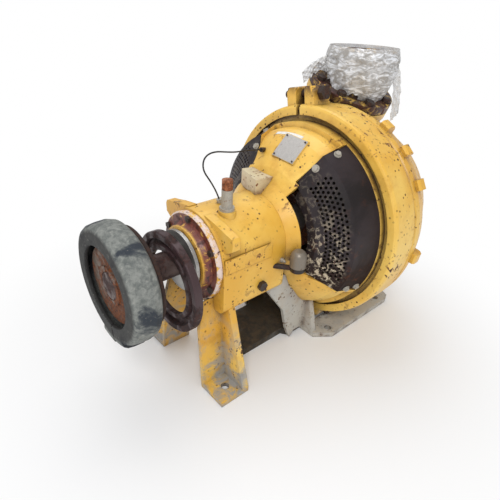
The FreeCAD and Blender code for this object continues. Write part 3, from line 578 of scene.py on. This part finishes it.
@dataclass(frozen=True)
class LooseFilm:
    """Clear wrapping film, cloudy along its creases."""
    name: str
    smooth: Colour = tone(186, 182, 176)
    creased: Colour = tone(236, 238, 242)

    def make(self) -> bpy.types.Material:
        """Build the material.

        Returns:
            The film material.
        """
        s = Shade(self.name)
        crease = s.noise(20.0, detail=4, rough=0.6, warp=1.6, at=s.stretched((1, 1, 2.6)))
        fine = s.noise(90.0, detail=3, rough=0.6, warp=0.8)
        veil = (0.62 + 0.33 * crease.ramp(0.42, 0.66) + 0.10 * fine).held()
        base = s.blend(crease.ramp(0.35, 0.68), self.smooth, self.creased)
        rough = (0.12 + 0.25 * fine).held()
        skin = s.node("ShaderNodeBsdfPrincipled", None,
                      {"Base Color": base, "Roughness": rough, "Specular IOR Level": 0.8,
                       "Normal": s.bump(crease + fine * 0.2, 0.003, 0.7)})
        clear = s.node("ShaderNodeBsdfTransparent")
        mixed = s.node("ShaderNodeMixShader", None, {0: veil, 1: clear.outputs[0], 2: skin.outputs[0]})
        s.tree.links.new(mixed.outputs[0], s.output.inputs[0])
        return s.material


GREY_WASH = dict(paint=tone(158, 160, 160), sun_faded=tone(186, 184, 176), under=tone(160, 122, 70),
                 chip=tone(84, 58, 40), primer=tone(140, 106, 62), slurry=tone(188, 184, 174))

LEG_WASH = dict(chips=0.7, dirt_and_shade=0.8, slurry=tone(158, 156, 152), splash_below=0.38)
FOOT_WASH = dict(chips=1.0, dirt_and_shade=1.0, splash_below=0.2, **GREY_WASH)
CLAMP_WEAR = dict(chips=0.85, dirt_and_shade=0.8, rust_above=0.845, splash_below=0.1)

SLOT_FINISHES = {
    "yellow_paint": WornPaint("frame paint"),
    "guard_steel": SlurriedGuard("guard paint"),
    "weathered_steel": BareMetal("weathered steel", tone(150, 146, 140), stained=0.5, rough=0.45),
    "bright_steel": BareMetal("bright steel", tone(186, 184, 180), stained=0.15, rough=0.3),
    "rusty_steel": RustedSteel("rusty steel", cover=0.85, shine=0.3),
    "dark_fastener": RustedSteel("dark fastener", tone(62, 52, 48), tone(84, 50, 34), tone(38, 28, 25),
                                 0.55, 0.4, 70.0),
    "wear_iron": RustedSteel("wear iron", tone(86, 84, 82), tone(100, 62, 38), tone(56, 44, 38),
                             0.4, 0.4, 30.0),
    "tyre_rubber": DustyRubber("tyre rubber"),
    "gasket_rubber": PlainCoat("gasket rubber", tone(28, 28, 28), tone(52, 50, 48), 0.8),
    "packing_fibre": PlainCoat("packing fibre", tone(150, 138, 112), tone(110, 98, 78), 0.9),
    "plate_aluminium": BareMetal("plate aluminium", tone(196, 192, 188), tone(130, 104, 92),
                                 0.35, 0.55, 0.42, 30.0),
    "clear_film": LooseFilm("clear film"),
    "cable_black": PlainCoat("cable jacket", tone(24, 24, 26), tone(64, 60, 56), 0.5),
    "lantern_brass": BareMetal("lantern brass", tone(190, 158, 90), stained=0.2),
    "zinc_grey": BareMetal("zinc grey", tone(178, 172, 160), tone(132, 92, 58), 0.35, 0.25, 0.55, 60.0),
}

NODE_FINISHES = {
    "grease_cup_base": RustedSteel("cup base rust", tone(48, 42, 38), tone(70, 42, 30), tone(30, 24, 22),
                                   0.6, 0.3, 60.0),
    "bell": WornPaint("bell paint", chips=0.5, dirt_and_shade=0.8),
    "clamp_ring_near_half": WornPaint("clamp paint", slurry=tone(176, 170, 160), **CLAMP_WEAR),
    "clamp_ring_far_half": WornPaint("clamp paint far", **CLAMP_WEAR),
    "drive_end_cover": WornPaint("cover paint", chips=0.9, dirt_and_shade=0.9, chip=tone(66, 30, 25),
                                 primer=tone(118, 58, 46), band=(0.104, 0.137)),
    "front_leg_near": WornPaint("leg paint", **LEG_WASH),
    "front_leg_far": WornPaint("leg paint far", **LEG_WASH),
    "rear_foot_near": WornPaint("foot paint", **FOOT_WASH),
    "rear_foot_far": WornPaint("foot paint far", **FOOT_WASH),
    # Dark tones, partly rust and partly painted shade of the ground under the pump.
    "base_tie_plate": RustedSteel("base tie rust and painted shade", tone(70, 66, 58), tone(74, 62, 46), tone(48, 44, 38),
                                  0.7, 0.1, 12.0),
    "grease_cup_cap": BareMetal("cup shell", tone(128, 118, 104), tone(92, 74, 56), 0.5, 0.3, 0.35, 40.0),
    "hanging_ring": RustedSteel("hanging ring rust", tone(70, 52, 54), tone(64, 36, 31), tone(32, 20, 19),
                                0.6, 0.25, 28.0),
    "coupling_hub": RustedSteel("hub rust", tone(104, 90, 78), tone(126, 68, 28), tone(66, 38, 24),
                                0.85, 0.4, 30.0, 0.122),
    "shaft": RustedSteel("shaft rust", tone(92, 76, 72), tone(74, 46, 40), tone(44, 30, 28), 0.7, 0.4, 34.0),
    "breather_cap": RustedSteel("cap rust", tone(176, 110, 74), tone(150, 82, 44), tone(84, 48, 30),
                                0.6, 0.5, 60.0),
    "lifting_block": WornPaint("block paint", paint=tone(206, 190, 150), sun_faded=tone(222, 210, 178),
                               under=tone(176, 112, 60), chip=tone(112, 58, 32), chips=2.4, dirt_and_shade=1.0),
    "discharge_bend": WornPaint("bend paint", chips=1.35, dirt_and_shade=1.0, splash_below=0.01, rust_above=0.74),
    "pump_casing": WornPaint("casing paint", chips=0.75, dirt_and_shade=0.7, splash_below=0.2),
}


# ---- object pieces ------------------------------------------------------------------------------
def new_object(name: str, data: bpy.types.ID, finish: bpy.types.Material,
               body: str = "frame") -> bpy.types.Object:
    """Add one piece to the scene.

    Args:
        name: the piece's name.
        data: its mesh or curve.
        finish: its material.
        body: the CAD body it rides on.

    Returns:
        The new object.
    """
    made = bpy.data.objects.new(name, data)
    bpy.context.scene.collection.objects.link(made)
    data.materials.append(finish)
    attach(made, body)
    return made


def grid_mesh(name: str, rows: list[list[Vector]], closed: bool) -> bpy.types.Mesh:
    """Quads over rows of points.

    Args:
        name: the mesh's name.
        rows: rows of equal length.
        closed: whether each row runs back to its first point.

    Returns:
        The mesh, shaded smooth.
    """
    work = bmesh.new()
    lines = [[work.verts.new(point) for point in row] for row in rows]
    for upper, lower in zip(lines, lines[1:]):
        count = len(upper)
        for i in range(count if closed else count - 1):
            j = (i + 1) % count
            work.faces.new((upper[i], lower[i], lower[j], upper[j]))
    bmesh.ops.recalc_face_normals(work, faces=work.faces)
    for face in work.faces:
        face.smooth = True
    mesh = bpy.data.meshes.new(name)
    work.to_mesh(mesh)
    work.free()
    return mesh


def crumple(a: float, b: float, seed: float) -> float:
    """Smooth repeatable wrinkle value.

    Args:
        a: first running length.
        b: second running length.
        seed: shifts the pattern.

    Returns:
        The value, about 0.
    """
    return (math.sin(a * 7.1 + seed) * math.sin(b * 5.3 + 1.7 * seed)
            + 0.5 * math.sin(a * 17.9 + b * 9.7 + seed)
            + 0.3 * math.sin(a * 37.0 - b * 23.0 + 2 * seed))


@dataclass
class FilmSleeve:
    """Loose clear film gathered round the discharge mouth, with one flap on each side."""
    mouth: Vector = field(default_factory=lambda: Vector((0.785, 0.03898, 1.00291)))
    radius: float = 0.1205
    depth: float = 0.118
    knee: float = 0.195
    straight: float = 0.020
    lip: float = 0.012
    band: float = 0.006
    band_depth: float = 0.026
    belly: float = 0.010
    fold: float = 0.0032
    deepest_fold: float = -0.002
    flap_fold: float = 0.007
    steps: int = 26
    around: int = 168
    flap_steps: int = 18
    flap_across: int = 12
    flat: tuple[float, float] = (0.84, 0.17)
    area: float = 0.12
    flap_turn: float = math.radians(-41.3)
    left_top: tuple = ((-0.121, 0.985), (-0.150, 0.972), (-0.182, 0.952), (-0.214, 0.918))
    left_low: tuple = ((-0.121, 0.925), (-0.150, 0.930), (-0.180, 0.904), (-0.204, 0.880))
    right_top: tuple = ((0.119, 0.985), (0.150, 0.935), (0.165, 0.870), (0.174, 0.790))
    right_low: tuple = ((0.121, 0.915), (0.134, 0.880), (0.143, 0.820), (0.147, 0.755))

    def axis(self, down: float) -> tuple[Vector, Vector]:
        """Line of the branch below the mouth.

        Args:
            down: distance below the mouth along the branch.

        Returns:
            The branch's centre there, and the direction across it.
        """
        turn = max(0.0, down - self.straight) / self.knee
        drop = min(down, self.straight) + self.knee * math.sin(turn)
        aside = self.knee * (1 - math.cos(turn))
        return self.mouth + Vector((0, aside, -drop)), Vector((0, math.cos(turn), math.sin(turn)))

    def sleeve_rows(self) -> list[list[Vector]]:
        """Rings of points from the open mouth down to the ragged lower edge.

        Returns:
            The rings, from the top.
        """
        rows = []
        for i in range(self.steps + 1):
            row = []
            for j in range(self.around):
                angle = 2 * math.pi * j / self.around
                ragged = 1 + 0.14 * crumple(angle * 0.8, 1.0, 2.0)
                down = self.depth * i / self.steps * ragged - self.lip * (i == 0)
                centre, side = self.axis(max(down, 0.0))
                band = self.band if down < self.band_depth else 0.0
                swell = self.belly * math.sin(math.pi * min(1.0, down / self.depth))
                fold = self.fold * crumple(angle * 1.3, down * 16, 0.6) * min(1.0, 0.3 + down * 18)
                reach = self.radius + band + swell + max(fold, self.deepest_fold)
                outward = Vector((math.cos(angle), 0, 0)) + side * math.sin(angle)
                row.append(centre + outward * reach + Vector((0, 0, max(0.0, -down))))
            rows.append(row)
        return rows

    def flap_rows(self, top: tuple, low: tuple, seed: float) -> list[list[Vector]]:
        """A crumpled strip between two edges that hangs away from the sleeve.

        Args:
            top: the upper edge's points, as distance out and height.
            low: the lower edge's points.
            seed: shifts the crumples.

        Returns:
            Rows of points from the sleeve outwards.
        """
        rows = []
        for i in range(self.flap_steps + 1):
            at = i / self.flap_steps * (len(top) - 1)
            k = min(int(at), len(top) - 2)
            upper = Vector(top[k]).lerp(Vector(top[k + 1]), at - k)
            lower = Vector(low[k]).lerp(Vector(low[k + 1]), at - k)
            row = []
            for j in range(self.flap_across + 1):
                t = j / self.flap_across
                spot = upper.lerp(lower, t)
                depth = self.flap_fold * crumple(at * 1.4, t * 3.0, seed) * min(1.0, 0.25 + at)
                flat = Vector((spot.x, depth, 0))
                flat.rotate(Matrix.Rotation(self.flap_turn, 3, "Z"))
                row.append(Vector((self.mouth.x + flat.x, self.mouth.y + flat.y, spot.y)))
            rows.append(row)
        return rows

    def build(self) -> bpy.types.Object:
        """Make the film and let it stand for the plain CAD sleeve.

        Returns:
            The film.
        """
        left = self.flap_rows(self.left_top, self.left_low, 1.0)
        right = self.flap_rows(self.right_top, self.right_low, 4.0)
        work = bmesh.new()
        for rows, closed in ((self.sleeve_rows(), True), (left, False), (right, False)):
            work.from_mesh(grid_mesh("part", rows, closed))
        mesh = bpy.data.meshes.new("discharge film")
        work.to_mesh(mesh)
        work.free()
        film = new_object("discharge_film", mesh, SLOT_FINISHES["clear_film"].make())
        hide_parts("wrapping_film")
        LOG.info("film area %.4f m2", sum(face.area for face in mesh.polygons))
        return film


@dataclass
class SensorCable:
    """Thin black sensor cable from the housing's gland over to its clip on the bell."""
    diameter: float = 0.0048
    length: float = 0.445
    route: tuple = (
        (0.106, 0.003, 0.604), (0.098, 0.004, 0.626), (0.078, 0.008, 0.664), (0.054, 0.012, 0.700),
        (0.056, 0.016, 0.729), (0.076, 0.020, 0.744), (0.112, 0.028, 0.744), (0.160, 0.037, 0.732),
        (0.208, 0.048, 0.721), (0.258, 0.061, 0.715), (0.306, 0.075, 0.706), (0.348, 0.084, 0.697))

    def build(self) -> bpy.types.Object:
        """Returns:
            The cable.
        """
        curve = bpy.data.curves.new("sensor cable", "CURVE")
        curve.dimensions = "3D"
        curve.bevel_depth = self.diameter / 2
        curve.bevel_resolution = 4
        curve.resolution_u = 12
        line = curve.splines.new("NURBS")
        line.points.add(len(self.route) - 1)
        for point, place in zip(line.points, self.route):
            point.co = (*place, 1.0)
        line.order_u = 3
        line.use_endpoint_u = True
        cable = new_object("cable_run", curve, SLOT_FINISHES["cable_black"].make())
        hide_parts("sensor_cable")
        return cable


@dataclass
class LabelStrip:
    """Blank white strip stuck round the top of the bell."""
    station: float = 0.4205
    width: float = 0.013
    first: float = 74.0
    last: float = 96.0
    lift: float = 0.0006
    steps: int = 24
    cone_front: tuple[float, float] = (0.406, 0.309)
    cone_rear: tuple[float, float] = (0.445, 0.327)

    def build(self) -> bpy.types.Object:
        """Make the strip on the bell's outer face.

        Returns:
            The strip.
        """
        slope = (self.cone_rear[1] - self.cone_front[1]) / (self.cone_rear[0] - self.cone_front[0])
        sweep = self.last - self.first
        turns = [math.radians(self.first + sweep * i / self.steps) for i in range(self.steps + 1)]
        rows = []
        for side in (-0.5, 0.5):
            x = self.station + side * self.width
            radius = self.cone_front[1] + (x - self.cone_front[0]) * slope + self.lift
            ring = [(radius * math.cos(t), SHAFT_HEIGHT + radius * math.sin(t)) for t in turns]
            rows.append([Vector((x, across, up)) for across, up in ring])
        finish = PlainCoat("label paper", tone(226, 226, 222), tone(196, 190, 176), 0.5, 60.0).make()
        return new_object("blank_label_strip", grid_mesh("label strip", rows, False), finish)


@dataclass
class Dresser:
    """Gives every CAD node its finish."""
    made: dict = field(default_factory=dict)

    def finish_of(self, node: str, record_slot: str) -> bpy.types.Material:
        """The material for a node, made once for each finish.

        Args:
            node: the node's name.
            record_slot: its material slot in the record.

        Returns:
            The material.
        """
        finish = NODE_FINISHES.get(node, SLOT_FINISHES[record_slot])
        if finish.name not in self.made:
            self.made[finish.name] = finish.make()
        return self.made[finish.name]

    def dress(self) -> None:
        """Assign the materials."""
        slots = {piece["node"]: piece["material_slot"] for piece in frame["record"]["subparts"]}
        for node, piece in frame["nodes"].items():
            material = self.finish_of(node, slots[node])
            for place in piece.material_slots:
                place.material = material
            if not piece.material_slots:
                piece.data.materials.append(material)


@dataclass
class Studio:
    """Pale floor, white surround, soft lamps and the camera."""
    lens: float = 0.83086 * SENSOR_WIDTH
    place: tuple = (-0.6209, -0.9286, 1.1158)
    right: tuple = (0.75, -0.6595, 0.0508)
    up: tuple = (0.3004, 0.4081, 0.8621)
    ahead: tuple = (0.5893, 0.6313, -0.5042)
    floor_half: float = 6.0
    floor_centre: tuple = (0.3, 0, -0.001)
    floor_fade: tuple[float, float] = (0.45, 1.25)
    floor_grey: Colour = (0.92, 0.92, 0.92)
    black: Colour = (0.0, 0.0, 0.0)
    white: Colour = (1.0, 1.0, 1.0)
    sky: tuple = (0.97, 0.98, 1.0, 1)
    sky_strength: float = 0.55

    def floor(self) -> None:
        """A wide pale floor just under the feet."""
        work = bmesh.new()
        bmesh.ops.create_grid(work, x_segments=1, y_segments=1, size=self.floor_half)
        mesh = bpy.data.meshes.new("floor")
        work.to_mesh(mesh)
        work.free()
        s = Shade("pale floor")
        ahead, aside = s.along(Axis.SHAFT), s.along(Axis.ACROSS)
        away = (ahead * ahead + aside * aside) ** 0.5
        fade = away.ramp(*self.floor_fade)
        mesh.materials.append(s.surface({
            "Base Color": s.blend(fade, self.floor_grey, self.black), "Roughness": 0.9,
            "Specular IOR Level": 0.0, "Emission Color": s.blend(fade, self.black, self.white),
            "Emission Strength": 1.0}))
        made = bpy.data.objects.new("studio_floor", mesh)
        bpy.context.scene.collection.objects.link(made)
        made.location = self.floor_centre

    def surround(self) -> None:
        """White to the camera and soft light for everything else."""
        world = bpy.data.worlds.new("surround")
        bpy.context.scene.world = world
        world.use_nodes = True
        tree = world.node_tree
        tree.nodes.clear()
        seen = tree.nodes.new("ShaderNodeBackground")
        seen.inputs[0].default_value = (1, 1, 1, 1)
        seen.inputs[1].default_value = 1.0
        light = tree.nodes.new("ShaderNodeBackground")
        light.inputs[0].default_value = self.sky
        light.inputs[1].default_value = self.sky_strength
        path = tree.nodes.new("ShaderNodeLightPath")
        mix = tree.nodes.new("ShaderNodeMixShader")
        out = tree.nodes.new("ShaderNodeOutputWorld")
        tree.links.new(path.outputs["Is Camera Ray"], mix.inputs[0])
        tree.links.new(light.outputs[0], mix.inputs[1])
        tree.links.new(seen.outputs[0], mix.inputs[2])
        tree.links.new(mix.outputs[0], out.inputs[0])

    def lamp(self, name: str, place: tuple, aim: tuple, size: float, energy: float) -> None:
        """One soft area lamp aimed at a point.

        Args:
            name: the lamp's name.
            place: where it stands.
            aim: the point it shines at.
            size: its width, in metres.
            energy: its power, in watts.
        """
        light = bpy.data.lights.new(name, "AREA")
        light.energy = energy
        light.size = size
        made = bpy.data.objects.new(name, light)
        made.location = place
        made.rotation_euler = (Vector(aim) - Vector(place)).to_track_quat("-Z", "Y").to_euler()
        bpy.context.scene.collection.objects.link(made)

    def camera(self) -> None:
        """The camera, at the view the pump is shown from."""
        lens = bpy.data.cameras.new("camera")
        lens.sensor_width = SENSOR_WIDTH
        lens.lens = self.lens
        lens.clip_end = 50
        made = bpy.data.objects.new("camera", lens)
        columns = (Vector(self.right), Vector(self.up), -Vector(self.ahead), Vector(self.place))
        made.matrix_world = Matrix([[column[i] for column in columns] for i in range(3)] + [[0, 0, 0, 1]])
        bpy.context.scene.collection.objects.link(made)
        bpy.context.scene.camera = made

    def build(self) -> None:
        """Set the whole studio up."""
        self.floor()
        self.surround()
        self.lamp("key lamp", (-1.4, -1.7, 2.6), (0.3, 0, 0.4), 1.1, 50)
        self.lamp("top lamp", (0.6, 0.8, 2.6), (0.4, 0, 0.4), 2.0, 20)
        self.camera()
        bpy.context.scene.view_settings.view_transform = "Standard"


def main() -> None:
    """Dress the pump, add the film, the cable and the strip, and set up the studio."""
    logging.basicConfig(level=logging.INFO)
    Dresser().dress()
    LOG.info("pieces dressed: %d", len(frame["nodes"]))
    for maker in (FilmSleeve(), SensorCable(), LabelStrip()):
        LOG.info("made %s", maker.build().name)
    Studio().build()


if __name__ == "__main__":
    main()
